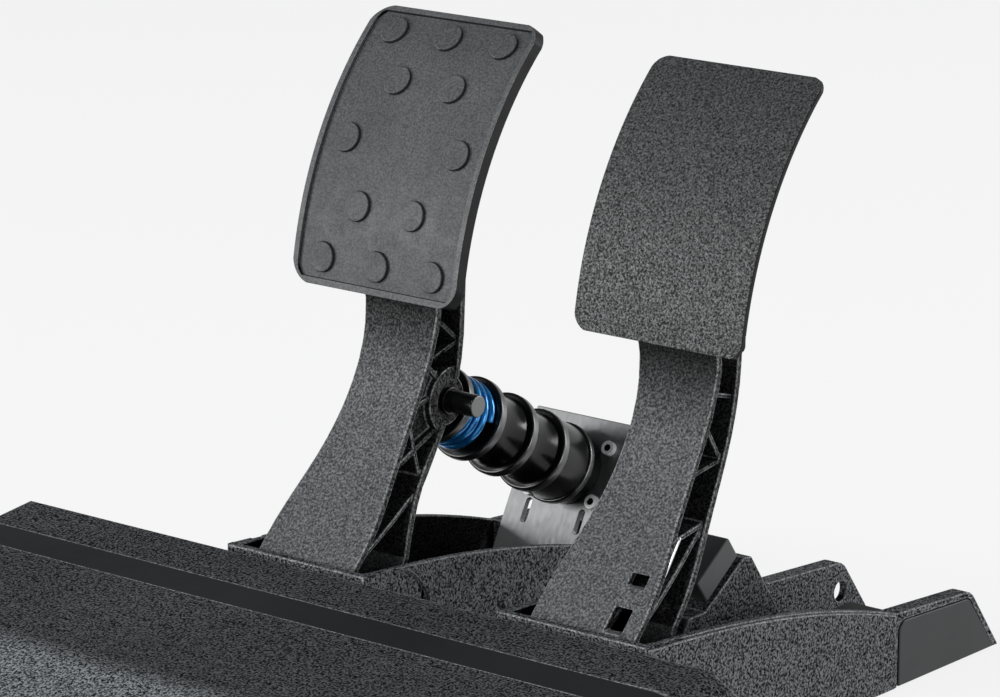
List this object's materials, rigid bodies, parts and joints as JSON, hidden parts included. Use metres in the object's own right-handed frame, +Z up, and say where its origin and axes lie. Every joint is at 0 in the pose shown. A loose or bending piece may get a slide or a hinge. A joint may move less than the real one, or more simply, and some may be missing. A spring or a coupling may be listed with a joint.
{
  "type": "racing simulator pedal set",
  "caption": "Floor pedal set for a driving simulator: load-cell brake with spring and elastomer stack, sprung throttle, both behind a sloping heel rest.",
  "frame": {"origin": "on the floor, under the middle of the set's box", "axes": "+X to the driver's right, +Y away from the driver, +Z up"},
  "size_m": [0.324, 0.37, 0.2267],
  "materials": {
    "textured_plastic": "coarse spark-eroded texture, dark grey",
    "smooth_plastic": "smooth satin, dark grey",
    "inlay": "smooth satin, darker grey",
    "cover_plastic": "plain black",
    "pad_rubber": "fine-grained grey rubber",
    "foot_rubber": "black rubber",
    "elastomer": "glossy black elastomer",
    "black_gloss": "semi-gloss black",
    "coated_plate": "textured dark grey powder coat",
    "bracket_steel": "pale zinc-plated sheet",
    "bright_steel": "bright turned steel",
    "fastener_steel": "dark zinc",
    "blue_spring": "blue coated spring wire",
    "bush_bronze": "sintered bronze",
    "circuit_board": "green board",
    "socket_plastic": "black"
  },
  "bodies": {
    "base": {"heel_rest": "textured_plastic", "side_fairing": "textured_plastic", "brake_housing": "textured_plastic", "throttle_housing": "textured_plastic", "throttle_stop_bracket": "textured_plastic", "brake_end_cap": "smooth_plastic", "throttle_end_cap": "smooth_plastic", "throttle_bumper": "smooth_plastic", "heel_strip": "inlay", "heel_cover": "cover_plastic", "rubber_feet": "foot_rubber", "rear_elastomer": "elastomer", "elastomer_cup": "black_gloss", "load_cell": "black_gloss", "load_cell_bracket": "bracket_steel", "brake_axle": "bright_steel", "throttle_axle": "bright_steel", "brake_axle_clips": "bright_steel", "throttle_axle_clips": "bright_steel", "throttle_return_spring": "bright_steel", "housing_screws": "fastener_steel", "load_cell_screws": "fastener_steel", "bracket_bolts": "fastener_steel", "stop_bracket_screws": "fastener_steel", "brake_amplifier_board": "circuit_board", "throttle_sensor_board": "circuit_board", "brake_socket": "socket_plastic", "throttle_socket": "socket_plastic"},
    "brake_lever": {"brake_bushes": "bush_bronze", "brake_arm": "textured_plastic", "brake_plate": "coated_plate", "brake_plate_nuts": "fastener_steel", "brake_pad": "pad_rubber", "brake_clevis_pin": "bright_steel", "clevis_collar": "bright_steel"},
    "brake_plunger": {"push_rod": "black_gloss", "spring_seat": "black_gloss"},
    "front_spacer": {"spacer_ring_1": "black_gloss", "brake_spring": "blue_spring"},
    "rear_spacer": {"spacer_ring_2": "black_gloss", "front_elastomer": "elastomer"},
    "throttle_lever": {"throttle_bushes": "bush_bronze", "throttle_arm": "textured_plastic", "throttle_plate": "coated_plate", "throttle_plate_nuts": "fastener_steel", "throttle_magnet": "bright_steel"}
  },
  "joints": [
    {"name": "brake_pivot", "type": "hinge", "parent": "base", "child": "brake_lever", "pos_m": [-0.035, -0.00696, 0.0285], "axis": [-1, 0, 0], "range_deg": [0, 6], "stiffness_Nm_per_rad": 30, "springref_deg": -4.58, "deforming": ["brake_spring", "front_elastomer", "rear_elastomer"]},
    {"name": "plunger_slide", "type": "slide", "parent": "base", "child": "brake_plunger", "axis": [0, 0.8788, -0.4772], "range_m": [0, 0.0088]},
    {"name": "front_spacer_slide", "type": "slide", "parent": "base", "child": "front_spacer", "axis": [0, 0.8788, -0.4772], "range_m": [0, 0.00641]},
    {"name": "rear_spacer_slide", "type": "slide", "parent": "base", "child": "rear_spacer", "axis": [0, 0.8788, -0.4772], "range_m": [0, 0.00321]},
    {"name": "throttle_pivot", "type": "hinge", "parent": "base", "child": "throttle_lever", "pos_m": [0.085, -0.00696, 0.0285], "axis": [-1, 0, 0], "range_deg": [0, 18], "stiffness_Nm_per_rad": 3, "springref_deg": -20.05, "deforming": ["throttle_return_spring"]}
  ],
  "couplings": [
    {"joint": "plunger_slide", "follows": "brake_pivot", "m_per_rad": 0.08403},
    {"joint": "front_spacer_slide", "follows": "brake_pivot", "m_per_rad": 0.06112},
    {"joint": "rear_spacer_slide", "follows": "brake_pivot", "m_per_rad": 0.03056}
  ]
}
